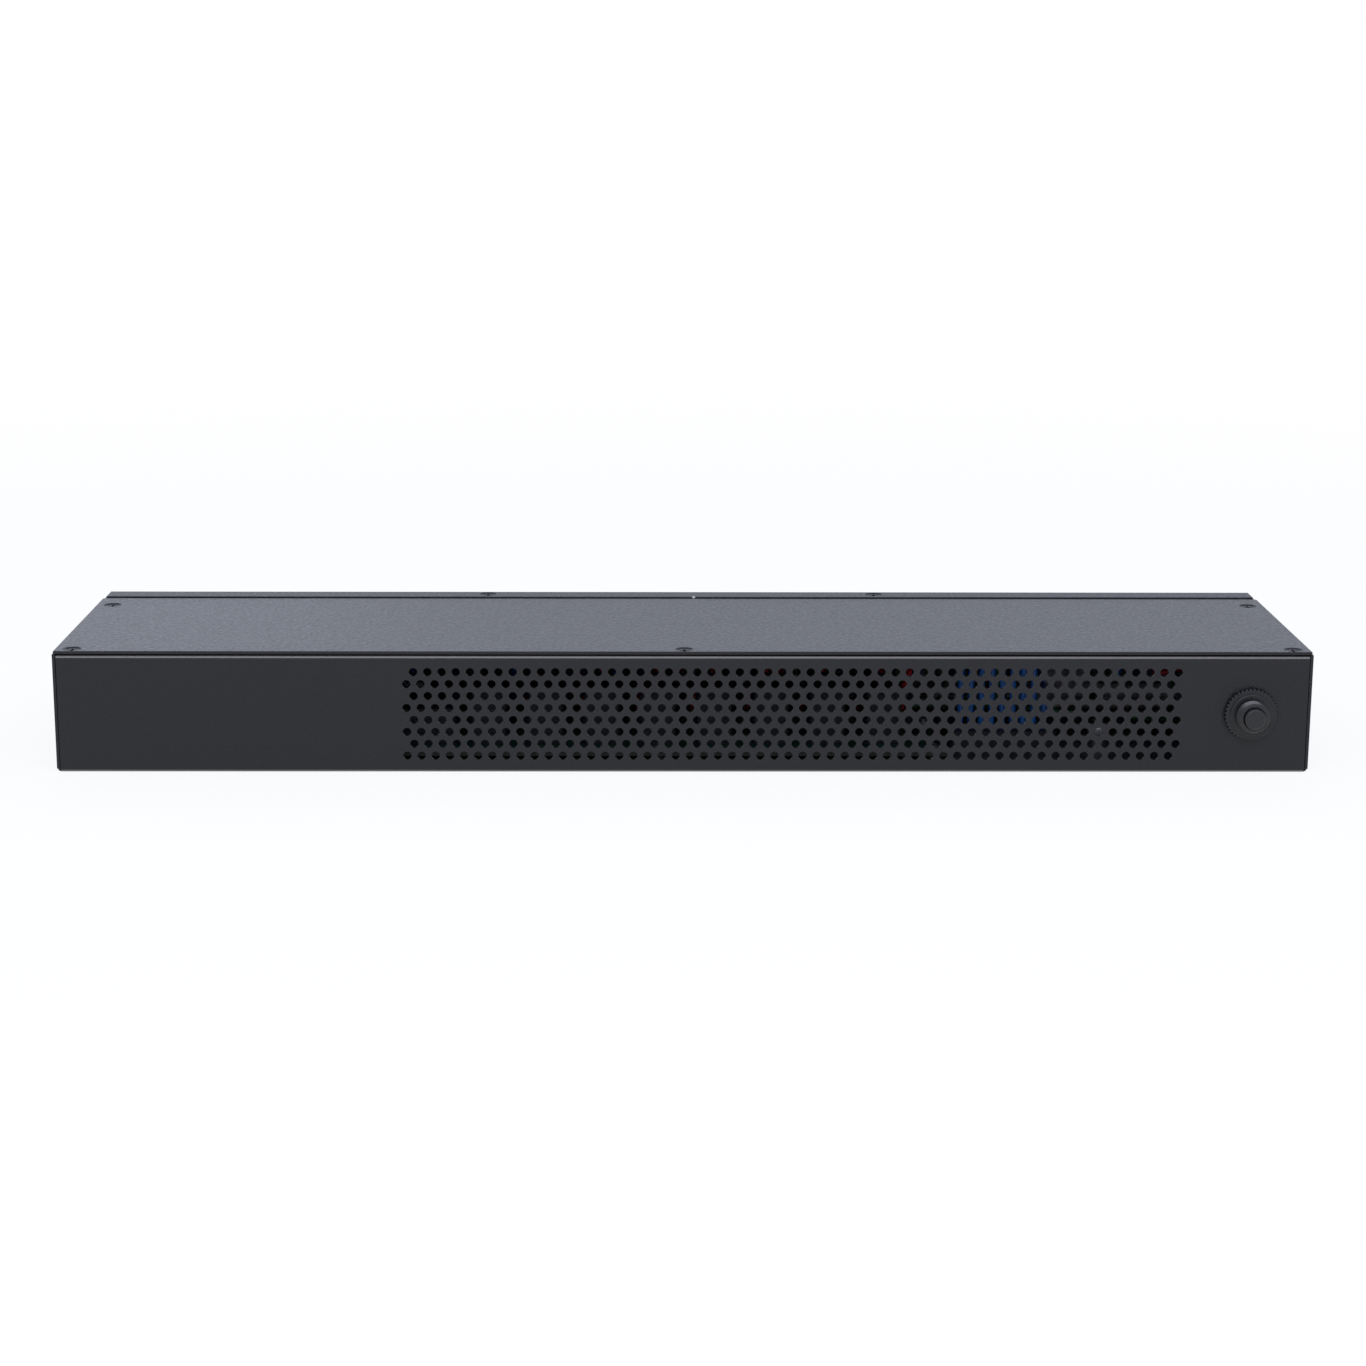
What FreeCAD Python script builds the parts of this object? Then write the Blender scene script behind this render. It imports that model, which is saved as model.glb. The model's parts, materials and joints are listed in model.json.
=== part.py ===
import FreeCAD, Part
import math
import os

import Sketcher

# Rack power distribution unit, one rack unit high: a folded tray with a perforated wall and a
# reset breaker, a flat cover, and an outlet panel whose flange overlaps the cover along the rear.
# X runs along the case, Y from the perforated wall to the outlet panel, Z up from the floor.

os.makedirs("parts", exist_ok=True)
doc = FreeCAD.newDocument("rack_power_unit")
sheet = doc.addObject("Spreadsheet::Sheet", "dims")
Vector = FreeCAD.Vector


def cell(alias, number):
    """One driving dimension in millimetres, or a count."""
    row = len(aliases) + 1
    sheet.set(f"A{row}", alias)
    sheet.set(f"B{row}", str(number))
    sheet.setAlias(f"B{row}", alias)
    aliases.append(alias)


aliases = []

# Case of folded sheet.
cell("case_width", 444)
cell("case_depth", 107)
cell("deck_height", 42.7)
cell("tray_sheet", 1)
cell("cover_sheet", 1.2)
cell("panel_sheet", 1.6)
cell("bend_inside", 0.3)
cell("seam_gap", 0.25)
cell("front_lip", 11)
cell("lip_drop", 0.4)
cell("cover_inset", 0.4)
cell("panel_gap", 0.35)
cell("panel_flange", 11)
cell("panel_foot", 13)
cell("joggle_run", 1.2)
cell("joggle_lean", 0.35)
cell("joggle_gap", 0.4)
cell("lip_end_gap", 0.4)
cell("tab_length", 14)
cell("tab_reach", 12)

# Perforation of the front wall.
cell("vent_radius", 1.5)
cell("vent_pitch", 5)
cell("vent_row_pitch", 4.33)
cell("vent_columns", 55)
cell("vent_row_pairs", 4)
cell("vent_left", -98)
cell("vent_top", 36.4)

# Countersunk screws, all of one size, and the tapped collars they enter.
cell("screw_radius", 1.45)
cell("screw_head", 2.85)
cell("screw_length", 5.2)
cell("screw_slot_width", 0.8)
cell("screw_slot_length", 3.6)
cell("screw_slot_depth", 1.1)
cell("sink_radius", 3.4)
cell("tapped_radius", 1.5)
cell("collar_radius", 2.4)
cell("collar_height", 2.2)
cell("cover_screw_side", 6.4)
cell("cover_screw_front", 4)
cell("cover_screw_rear", 81.5)
cell("flange_screw_x", 74.5)
cell("flange_screw_rear", 5.7)
cell("foot_screw_x", 160)
cell("foot_screw_rear", 8)

# Tapped holes in the side walls for rack brackets.
cell("bracket_radius", 1.65)
cell("bracket_collar", 2.7)
cell("bracket_span_deep", 72)
cell("bracket_span_high", 24)
cell("bracket_height", 21.5)

# Reset breaker in the front wall.
cell("breaker_x", 200.6)
cell("breaker_z", 21.5)
cell("bushing_radius", 5.3)
cell("bushing_reach", 7.4)
cell("bushing_chamfer", 0.4)
cell("fit_gap", 0.1)
cell("nut_radius", 9.5)
cell("nut_rim", 2.1)
cell("nut_height", 3)
cell("nut_hub", 7.7)
cell("nut_chamfer", 0.4)
cell("nut_teeth", 40)
cell("tooth_depth", 0.7)
cell("tooth_half_width", 0.95)
cell("back_nut_radius", 8)
cell("back_nut_height", 2.5)
cell("breaker_width", 15)
cell("breaker_height", 30)
cell("breaker_depth", 28)
cell("button_radius", 3.7)
cell("button_reach", 9.2)
cell("button_edge", 0.5)
cell("button_gap", 0.25)
cell("button_travel", 3.5)
cell("button_collar", 4.4)
cell("button_collar_height", 1)
cell("button_root", 8)
cell("breaker_tab_offset", 7.5)

# Plug outlets and power inlet, sizes of the common ten-ampere pattern.
cell("socket_z", 22.4)
cell("outlet_count", 8)
cell("outlet_first", -146)
cell("outlet_pitch", 38)
cell("outlet_bezel_width", 36)
cell("outlet_bezel_height", 28.5)
cell("bezel_thickness", 2)
cell("outlet_body_width", 31.4)
cell("outlet_body_height", 23.8)
cell("outlet_body_depth", 24)
cell("shroud_width", 28.6)
cell("shroud_height", 20.6)
cell("core_width", 23.8)
cell("core_height", 15.8)
cell("key_chamfer", 4.6)
cell("socket_depth", 16)
cell("slot_width", 2.6)
cell("slot_height", 5)
cell("pin_spread", 7)
cell("pin_rise", 2)
cell("leaf_sheet", 0.5)
cell("tab_sheet", 0.8)
cell("tab_height", 4.8)
cell("tab_out", 8)
cell("leaf_tip", 3)
cell("inlet_x", 172)
cell("inlet_bezel_width", 31)
cell("inlet_bezel_height", 24.6)
cell("inlet_body_width", 27.8)
cell("inlet_body_height", 20.4)
cell("inlet_body_depth", 20)
cell("inlet_cavity_width", 24.3)
cell("inlet_cavity_height", 16.3)
cell("inlet_cavity_depth", 14.5)
cell("pin_width", 2)
cell("pin_height", 4)
cell("pin_tip", 0.5)

# Network jack.
cell("jack_x", -195)
cell("jack_bezel_width", 20)
cell("jack_bezel_height", 17.5)
cell("jack_body_width", 16)
cell("jack_body_height", 13.6)
cell("jack_body_depth", 20)
cell("jack_mouth_width", 11.8)
cell("jack_mouth_height", 7.4)
cell("jack_mouth_depth", 13)
cell("jack_key_width", 6)
cell("jack_key_height", 2)
cell("jack_wire_pitch", 1.02)
cell("jack_wire", 0.45)

# Relay board and what stands on it.
cell("board_left", -112)
cell("board_right", 94)
cell("board_front", -46)
cell("board_rear", 5)
cell("board_sheet", 1.6)
cell("standoff_height", 3)
cell("standoff_radius", 2.6)
cell("standoff_inset", 4)
cell("pan_screw_length", 3.8)
cell("pan_head_height", 1.8)
cell("pan_head_edge", 0.6)
cell("relay_first", -70.1)
cell("relay_pitch", 20.35)
cell("relay_width", 12.7)
cell("relay_length", 29)
cell("relay_height", 19.5)
cell("relay_rear", -5)
cell("relay_chamfer", 0.6)
cell("module_x", -95)
cell("module_width", 26)
cell("module_length", 30)
cell("module_height", 13)
cell("terminal_y", -0.8)
cell("terminal_offset", 7.7)
cell("terminal_width", 9)
cell("terminal_length", 8)
cell("terminal_height", 5)
cell("feed_terminal_x", 82)
cell("header_height", 5.4)

# Neutral block, earth stud and wiring.
cell("block_left", 101)
cell("block_pitch", 3.8)
cell("block_y", -24)
cell("block_length", 12)
cell("block_height", 8)
cell("stud_x", 203)
cell("stud_y", 22)
cell("stud_radius", 2)
cell("stud_height", 13)
cell("stud_shoulder", 2)
cell("stud_nut_radius", 4)
cell("stud_nut_height", 3.2)
cell("ring_radius", 4)
cell("ring_sheet", 0.8)
cell("ring_shank", 11)
cell("ring_barrel", 4.4)
cell("ring_barrel_radius", 1.5)
cell("wire_radius", 1.1)
cell("wire_spacing", 2.6)
cell("wire_lean", 0.66)
cell("harness_level", 29.6)
cell("cable_radius", 2.2)
cell("sleeve_width", 5.2)
cell("sleeve_height", 6.4)
cell("sleeve_length", 14)
cell("sleeve_slot", 7.6)
doc.recompute()


def size(expression):
    """Value of an expression of sheet aliases."""
    return float(sheet.evalExpression(expression))


def dim(alias):
    return float(sheet.get(alias))


def plane_of(body, role):
    return [f for f in body.Origin.OriginFeatures if f.Role == role][0]


def new_body(label):
    body = doc.addObject("PartDesign::Body", label)
    body.Label = label
    return body


def new_sketch(body, name, role, offset="0"):
    """Sketch on an origin plane of the body, lifted along the plane's normal."""
    sketch = body.newObject("Sketcher::SketchObject", name)
    sketch.AttachmentSupport = [(plane_of(body, role), "")]
    sketch.MapMode = "FlatFace"
    sketch.setExpression("AttachmentOffset.Base.z", offset)
    return sketch


def pin_point(sketch, geometry, end, corner):
    """Holds one point of the sketch at a pair of expressions."""
    for kind, expression in zip(("DistanceX", "DistanceY"), corner):
        rule = Sketcher.Constraint(kind, -1, 1, geometry, end, size(expression))
        number = sketch.addConstraint(rule)
        sketch.setExpression(f"Constraints[{number}]", expression)


def outline(sketch, corners):
    """Closed outline; a corner with a third item is reached by an arc of that radius,
    turning left for a fourth item of 1 and right for -1."""
    first = sketch.GeometryCount
    count = len(corners)
    spots = [Vector(size(c[0]), size(c[1]), 0) for c in corners]
    for i in range(count):
        start, stop, goal = spots[i], spots[(i + 1) % count], corners[(i + 1) % count]
        if len(goal) == 2:
            sketch.addGeometry(Part.LineSegment(start, stop), False)
            continue
        radius = size(goal[2])
        chord = stop.sub(start)
        half = chord.Length / 2
        across = Vector(-chord.y, chord.x, 0).normalize()
        centre = start + chord * 0.5 + across * (goal[3] * math.sqrt(max(radius**2 - half**2, 0)))
        low, high = (start, stop) if goal[3] > 0 else (stop, start)
        angles = [math.atan2(p.y - centre.y, p.x - centre.x) for p in (low, high)]
        sketch.addGeometry(
            Part.ArcOfCircle(Part.Circle(centre, Vector(0, 0, 1), radius), *angles), False
        )
    for i in range(count):
        after = (i + 1) % count
        ends = []
        for number, wanted in ((i, 2), (after, 1)):
            goal = corners[(number + 1) % count]
            swapped = len(goal) == 4 and goal[3] < 0
            ends += [first + number, 3 - wanted if swapped else wanted]
        sketch.addConstraint(Sketcher.Constraint("Coincident", *ends))
        pin_point(sketch, ends[2], ends[3], corners[after][:2])
    for i in range(count):
        goal = corners[(i + 1) % count]
        if len(goal) == 4:
            number = sketch.addConstraint(Sketcher.Constraint("Radius", first + i, size(goal[2])))
            sketch.setExpression(f"Constraints[{number}]", goal[2])


def rectangle(sketch, left, low, right, high):
    outline(sketch, [(left, low), (right, low), (right, high), (left, high)])


def centred(sketch, x, y, width, height):
    rectangle(
        sketch, f"{x} - {width} / 2", f"{y} - {height} / 2",
        f"{x} + {width} / 2", f"{y} + {height} / 2",
    )


def keyed(sketch, width, height):
    """Rectangle about the sketch's origin with its two upper corners cut off."""
    cut = "dims.key_chamfer"
    outline(sketch, [
        (f"-{width} / 2", f"-{height} / 2"), (f"{width} / 2", f"-{height} / 2"),
        (f"{width} / 2", f"{height} / 2 - {cut}"), (f"{width} / 2 - {cut}", f"{height} / 2"),
        (f"{cut} - {width} / 2", f"{height} / 2"), (f"-{width} / 2", f"{height} / 2 - {cut}"),
    ])


def ring(sketch, x, y, radius):
    number = sketch.addGeometry(
        Part.Circle(Vector(size(x), size(y), 0), Vector(0, 0, 1), size(radius)), False
    )
    pin_point(sketch, number, 3, (x, y))
    rule = sketch.addConstraint(Sketcher.Constraint("Radius", number, size(radius)))
    sketch.setExpression(f"Constraints[{rule}]", radius)


def pad(body, sketch, length, reverse=False):
    feature = body.newObject("PartDesign::Pad", sketch.Name + "_pad")
    feature.Profile = sketch
    feature.setExpression("Length", length)
    feature.Reversed = reverse
    sketch.Visibility = False
    doc.recompute()
    return feature


def pocket(body, sketch, length, reverse=False):
    """Cut along the sketch's normal, backwards unless reversed; it must take material away."""
    before = body.Shape.Volume
    feature = body.newObject("PartDesign::Pocket", sketch.Name + "_cut")
    feature.Profile = sketch
    feature.setExpression("Length", length)
    feature.Reversed = reverse
    doc.recompute()
    if body.Shape.Volume > before - 1e-6:
        raise RuntimeError(f"{sketch.Name} cuts nothing")
    return feature


def countersunk(body, sketch, drill, mouth, depth, reverse=False):
    """Countersunk holes at the sketch's circles."""
    doc.recompute()
    before = body.Shape.Volume
    feature = body.newObject("PartDesign::Hole", sketch.Name + "_hole")
    feature.Profile = sketch
    feature.ThreadType = 0
    feature.DepthType = 0
    feature.DrillPoint = 0
    feature.setExpression("Depth", depth)
    feature.setExpression("Diameter", f"2 * {drill}")
    feature.HoleCutType = "Countersink"
    feature.HoleCutCustomValues = True
    feature.setExpression("HoleCutDiameter", f"2 * {mouth}")
    feature.HoleCutCountersinkAngle = 90
    feature.Reversed = reverse
    doc.recompute()
    if body.Shape.Volume > before - 1e-6:
        raise RuntimeError(f"{sketch.Name} drills nothing")
    return feature


def place(body, x="0", y="0", z="0"):
    for axis, expression in zip("xyz", (x, y, z)):
        body.setExpression(f"Placement.Base.{axis}", expression)


def group(label, source, spots, *turns):
    """Equal solids of one source piece at a list of points, turned alike or each by its own turn."""
    doc.recompute()
    turns = turns or (FreeCAD.Rotation(),)
    if len(turns) == 1:
        turns *= len(spots)
    solids = []
    for spot, turn in zip(spots, turns):
        solid = source.Shape.copy()
        solid.Placement = FreeCAD.Placement(spot, turn)
        solids.append(solid)
    piece = doc.addObject("Part::Feature", label)
    piece.Label = label
    piece.Shape = Part.makeCompound(solids)
    nodes.append(piece)


nodes = []
front = "-dims.case_depth / 2"
rear = "dims.case_depth / 2"
half = "dims.case_width / 2"
bend = "(dims.bend_inside + dims.tray_sheet)"
fold = "(dims.bend_inside + dims.panel_sheet)"
panel_in = f"({rear} - dims.panel_sheet)"
floor_top = "dims.tray_sheet"
wall_in = f"({half} - dims.tray_sheet)"
lip_top = "(dims.deck_height - dims.lip_drop)"


# Chassis tray: floor and side walls folded up from one sheet.
tray = new_body("chassis_tray")
section = new_sketch(tray, "tray_section", "XZ_Plane", f"-{rear}")
outline(section, [
    (f"-{half}", "dims.deck_height"), (f"-{half}", bend),
    (f"{bend} - {half}", "0", bend, 1), (f"{half} - {bend}", "0"),
    (half, bend, bend, 1), (half, "dims.deck_height"),
    (wall_in, "dims.deck_height"), (wall_in, bend),
    (f"{half} - {bend}", floor_top, "dims.bend_inside", -1), (f"{bend} - {half}", floor_top),
    (f"-{wall_in}", bend, "dims.bend_inside", -1), (f"-{wall_in}", "dims.deck_height"),
])
pad(tray, section, "dims.case_depth")

# The floor and both side bends stop at the front bend, which leaves a relief at each corner.
clearing = new_sketch(tray, "front_clearing", "XY_Plane")
rectangle(clearing, f"-{half}", front, half, f"{front} + {bend}")
pocket(tray, clearing, bend, True)

# Side walls: a gap for each folded screw tab, and the tabs a little below the cover.
tab_middle = f"({front} + dims.cover_screw_rear)"
tab_low = f"({lip_top} - {bend})"
notches = new_sketch(tray, "wall_notches", "YZ_Plane", f"-{half}")
rectangle(
    notches, f"{tab_middle} - dims.tab_length / 2 - dims.seam_gap", tab_low,
    f"{tab_middle} + dims.tab_length / 2 + dims.seam_gap", "dims.deck_height",
)
pocket(tray, notches, "dims.case_width", True)
tabs = new_sketch(tray, "screw_tabs", "XZ_Plane", f"-({tab_middle} + dims.tab_length / 2)")
for side, turn in (("", 1), ("-", -1)):
    outline(tabs, [
        (f"{side}({half})", tab_low),
        (f"{side}({half} - {bend})", lip_top, bend, turn),
        (f"{side}({half} - dims.tab_reach)", lip_top),
        (f"{side}({half} - dims.tab_reach)", f"{lip_top} - dims.tray_sheet"),
        (f"{side}({half} - {bend})", f"{lip_top} - dims.tray_sheet"),
        (f"{side}{wall_in}", tab_low, "dims.bend_inside", -turn),
    ])
pad(tray, tabs, "dims.tab_length")

wall_half = f"({wall_in} - dims.seam_gap)"
bend_half = f"({half} - {bend} - dims.seam_gap)"
fold_up = new_sketch(tray, "front_bend", "YZ_Plane", f"-{bend_half}")
outline(fold_up, [
    (f"{front} + {bend}", "0", bend, 1), (f"{front} + {bend}", floor_top),
    (f"{front} + dims.tray_sheet", bend, "dims.bend_inside", -1), (front, bend),
])
pad(tray, fold_up, f"2 * {bend_half}")

wall = new_sketch(tray, "front_wall", "YZ_Plane", f"-{wall_half}")
outline(wall, [
    (front, bend), (f"{front} + dims.tray_sheet", bend),
    (f"{front} + dims.tray_sheet", f"{lip_top} - {bend}"),
    (f"{front} + {bend}", f"{lip_top} - dims.tray_sheet", "dims.bend_inside", -1),
    (f"{front} + dims.front_lip", f"{lip_top} - dims.tray_sheet"),
    (f"{front} + dims.front_lip", lip_top), (f"{front} + {bend}", lip_top),
    (front, f"{lip_top} - {bend}", bend, 1),
])
pad(tray, wall, f"2 * {wall_half}")

# Tapped collars under the lip and the tabs, for the cover screws.
side_x = f"({half} - dims.cover_screw_side)"
front_y = f"({front} + dims.cover_screw_front)"
cover_spots = [
    (f"-{side_x}", front_y), ("0", front_y), (side_x, front_y),
    (f"-{side_x}", tab_middle), (side_x, tab_middle),
]
collars = new_sketch(tray, "lip_collars", "XY_Plane", f"{lip_top} - dims.tray_sheet / 2")
for x, y in cover_spots:
    ring(collars, x, y, "dims.collar_radius")
pad(tray, collars, "dims.collar_height", True)
threads = new_sketch(tray, "lip_threads", "XY_Plane", lip_top)
for x, y in cover_spots:
    ring(threads, x, y, "dims.tapped_radius")
countersunk(
    tray, threads, "dims.tapped_radius", "(dims.sink_radius - dims.cover_sheet - dims.lip_drop)",
    "dims.collar_height + dims.tray_sheet",
)

# Countersunk holes in the floor for the screws of the outlet panel's foot.
foot_y = f"({rear} - dims.foot_screw_rear)"
foot_spots = [("-dims.foot_screw_x", foot_y), ("0", foot_y), ("dims.foot_screw_x", foot_y)]
sinks = new_sketch(tray, "floor_sinks", "XY_Plane")
for x, y in foot_spots:
    ring(sinks, x, y, "dims.screw_radius")
countersunk(
    tray, sinks, "(dims.screw_radius + dims.fit_gap)", "dims.sink_radius",
    "2 * dims.tray_sheet", True,
)

# Tapped bracket holes in both side walls, their collars drawn inwards.
bracket_spots = [
    (f"{a} * dims.bracket_span_deep / 2", f"dims.bracket_height + {b} * dims.bracket_span_high / 2")
    for a in (-1, 1) for b in (-1, 1)
]
for name, offset, inward in (("left_collars", f"-{wall_in}", False), ("right_collars", wall_in, True)):
    drawn = new_sketch(tray, name, "YZ_Plane", offset)
    for y, z in bracket_spots:
        ring(drawn, y, z, "dims.bracket_collar")
    pad(tray, drawn, "dims.tray_sheet", inward)
bores = new_sketch(tray, "bracket_bores", "YZ_Plane", f"-{half}")
for y, z in bracket_spots:
    ring(bores, y, z, "dims.bracket_radius")
pocket(tray, bores, "dims.case_width", True)

# Breaker hole and perforation: staggered rows, each a line of round holes.
breaker_hole = new_sketch(tray, "breaker_hole", "XZ_Plane", "dims.case_depth / 2")
ring(breaker_hole, "dims.breaker_x", "dims.breaker_z", "(dims.bushing_radius + dims.fit_gap)")
pocket(tray, breaker_hole, "dims.tray_sheet")
for name, x, row in (
    ("vent_even", "dims.vent_left + dims.vent_pitch / 2", "2 * dims.vent_row_pairs - 2"),
    ("vent_odd", "dims.vent_left", "2 * dims.vent_row_pairs - 1"),
):
    vent = new_sketch(tray, name, "XZ_Plane", "dims.case_depth / 2")
    ring(vent, x, f"dims.vent_top - ({row}) * dims.vent_row_pitch", "dims.vent_radius")
    first_hole = pocket(tray, vent, "dims.tray_sheet")
    field = tray.newObject("PartDesign::MultiTransform", name + "_field")
    field.Originals = [first_hole]
    steps = []
    for role, count, pitch in (
        ("X_Axis", "dims.vent_columns", "dims.vent_pitch"),
        ("Z_Axis", "dims.vent_row_pairs", "2 * dims.vent_row_pitch"),
    ):
        step = tray.newObject("PartDesign::LinearPattern", name + "_" + role)
        step.Direction = (plane_of(tray, role), [""])
        step.Mode = "Spacing"
        step.setExpression("Offset", pitch)
        step.setExpression("Occurrences", count)
        steps.append(step)
    field.Transformations = steps
    tray.Tip = field
    doc.recompute()
nodes.append(tray)

# Top cover: flat sheet whose rear lip steps down under the outlet panel's flange.
cover = new_body("top_cover")
cover_half = f"({half} - dims.cover_inset)"
strip_front = f"({rear} - dims.panel_flange)"
step_end = f"({strip_front} - dims.joggle_gap)"
step_start = f"({step_end} - dims.joggle_run)"
lip_end = f"({panel_in} - dims.bend_inside - dims.lip_end_gap)"
deck = "dims.deck_height"
cover_top = "(dims.deck_height + dims.cover_sheet)"
lip_low = "(dims.deck_height - dims.cover_sheet)"
sheet_line = new_sketch(cover, "cover_section", "YZ_Plane", f"-{cover_half}")
outline(sheet_line, [
    (front, deck), (f"{step_start} - dims.joggle_lean", deck), (f"{step_end} - dims.joggle_lean", lip_low),
    (lip_end, lip_low), (lip_end, deck), (step_end, deck), (step_start, cover_top),
    (front, cover_top),
])
pad(cover, sheet_line, f"2 * {cover_half}")
trims = new_sketch(cover, "lip_trims", "XY_Plane", cover_top)
for side in ("", "-"):
    rectangle(
        trims, f"{side}({wall_in} - dims.seam_gap)", f"{step_start} - dims.joggle_lean",
        f"{side}{half}", lip_end,
    )
pocket(cover, trims, "dims.collar_height + 2 * dims.cover_sheet")
flange_y = f"({rear} - dims.flange_screw_rear)"
flange_spots = [("-dims.flange_screw_x", flange_y), ("dims.flange_screw_x", flange_y)]
lip_collars = new_sketch(cover, "step_collars", "XY_Plane", f"{lip_low} + dims.cover_sheet / 2")
for x, y in flange_spots:
    ring(lip_collars, x, y, "dims.collar_radius")
pad(cover, lip_collars, "dims.collar_height", True)
lip_threads = new_sketch(cover, "step_threads", "XY_Plane", deck)
for x, y in flange_spots:
    ring(lip_threads, x, y, "dims.tapped_radius")
countersunk(
    cover, lip_threads, "dims.tapped_radius", "(dims.sink_radius - dims.panel_sheet)",
    "dims.collar_height + dims.cover_sheet",
)
cover_sinks = new_sketch(cover, "cover_sinks", "XY_Plane", cover_top)
for x, y in cover_spots:
    ring(cover_sinks, x, y, "dims.screw_radius")
countersunk(
    cover, cover_sinks, "(dims.screw_radius + dims.fit_gap)", "dims.sink_radius",
    "2 * dims.cover_sheet",
)
nodes.append(cover)

# Outlet panel: upright face with a flange over the cover's lip and a foot on the floor.
panel = new_body("outlet_panel")
panel_half = f"({wall_in} - dims.panel_gap)"
panel_top = "(dims.deck_height + dims.panel_sheet)"
face_low = f"({floor_top} + {fold} + dims.seam_gap)"
upper = new_sketch(panel, "panel_face", "YZ_Plane", f"-{panel_half}")
outline(upper, [
    (panel_in, face_low), (rear, face_low), (rear, f"{panel_top} - {fold}"),
    (f"{rear} - {fold}", panel_top, fold, 1), (strip_front, panel_top), (strip_front, deck),
    (f"{rear} - {fold}", deck), (panel_in, f"{panel_top} - {fold}", "dims.bend_inside", -1),
])
pad(panel, upper, f"2 * {panel_half}")
lower = new_sketch(panel, "panel_foot", "YZ_Plane", f"-{bend_half}")
outline(lower, [
    (rear, face_low), (panel_in, face_low), (panel_in, f"{floor_top} + {fold}"),
    (f"{rear} - {fold}", f"{floor_top} + dims.panel_sheet", "dims.bend_inside", -1),
    (f"{rear} - dims.panel_foot", f"{floor_top} + dims.panel_sheet"),
    (f"{rear} - dims.panel_foot", floor_top), (f"{rear} - {fold}", floor_top),
    (rear, f"{floor_top} + {fold}", fold, 1),
])
pad(panel, lower, f"2 * {bend_half}")
outlet_x = [
    f"(dims.outlet_first + {k} * dims.outlet_pitch)" for k in range(int(dim("outlet_count")))
]
windows = new_sketch(panel, "panel_windows", "XZ_Plane", f"-({rear})")
room = "2 * dims.fit_gap"
for x in outlet_x:
    centred(
        windows, x, "dims.socket_z",
        f"(dims.outlet_body_width + {room})", f"(dims.outlet_body_height + {room})",
    )
for name in ("inlet", "jack"):
    centred(
        windows, f"dims.{name}_x", "dims.socket_z",
        f"(dims.{name}_body_width + {room})", f"(dims.{name}_body_height + {room})",
    )
pocket(panel, windows, "dims.panel_sheet", True)
flange_sinks = new_sketch(panel, "flange_sinks", "XY_Plane", panel_top)
for x, y in flange_spots:
    ring(flange_sinks, x, y, "dims.screw_radius")
countersunk(
    panel, flange_sinks, "(dims.screw_radius + dims.fit_gap)", "dims.sink_radius",
    "2 * dims.panel_sheet",
)
foot_collars = new_sketch(panel, "foot_collars", "XY_Plane", f"{floor_top} + dims.panel_sheet / 2")
for x, y in foot_spots:
    ring(foot_collars, x, y, "dims.collar_radius")
pad(panel, foot_collars, "dims.collar_height")
foot_threads = new_sketch(panel, "foot_threads", "XY_Plane", floor_top)
for x, y in foot_spots:
    ring(foot_threads, x, y, "dims.tapped_radius")
countersunk(
    panel, foot_threads, "dims.tapped_radius", "(dims.sink_radius - dims.tray_sheet)",
    "dims.collar_height + dims.panel_sheet", True,
)
nodes.append(panel)


def turned(label, corners):
    """Body turned about its own Y axis from a half outline in radius and length."""
    body = new_body(label)
    shape = new_sketch(body, label + "_half", "XY_Plane")
    outline(shape, corners)
    spin = body.newObject("PartDesign::Revolution", label + "_turn")
    spin.Profile = shape
    spin.ReferenceAxis = (shape, ["V_Axis"])
    spin.Angle = 360
    doc.recompute()
    return body


def cross(body, name, depth_at):
    """Cross recess cut along Y into the head of a turned screw."""
    recess = new_sketch(body, name, "XZ_Plane", depth_at)
    arm, thick = "dims.screw_slot_length / 2", "dims.screw_slot_width / 2"
    outline(recess, [
        (f"-{arm}", f"-{thick}"), (f"-{thick}", f"-{thick}"), (f"-{thick}", f"-{arm}"),
        (thick, f"-{arm}"), (thick, f"-{thick}"), (arm, f"-{thick}"),
        (arm, thick), (thick, thick), (thick, arm),
        (f"-{thick}", arm), (f"-{thick}", thick), (f"-{arm}", thick),
    ])
    pocket(body, recess, "dims.screw_slot_depth", True)


# Countersunk screw, head at the origin and shank along -Y; it is set down turned.
screw = turned("countersunk_screw", [
    ("0", "-dims.screw_length"), ("dims.screw_radius", "-dims.screw_length"),
    ("dims.screw_radius", "dims.screw_radius - dims.screw_head"), ("dims.screw_head", "0"),
    ("0", "0"),
])
cross(screw, "screw_cross", "0")
sunk = dim("sink_radius") - dim("screw_head") - dim("fit_gap") / 2
down = FreeCAD.Rotation(Vector(1, 0, 0), 90)
upward = FreeCAD.Rotation(Vector(1, 0, 0), -90)


def spots_at(pairs, z):
    return [Vector(size(x), size(y), z) for x, y in pairs]


group("cover_screws", screw, spots_at(cover_spots, size(cover_top) - sunk), down)
group("flange_screws", screw, spots_at(flange_spots, size(panel_top) - sunk), down)
group("foot_screws", screw, spots_at(foot_spots, sunk), upward)

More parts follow.
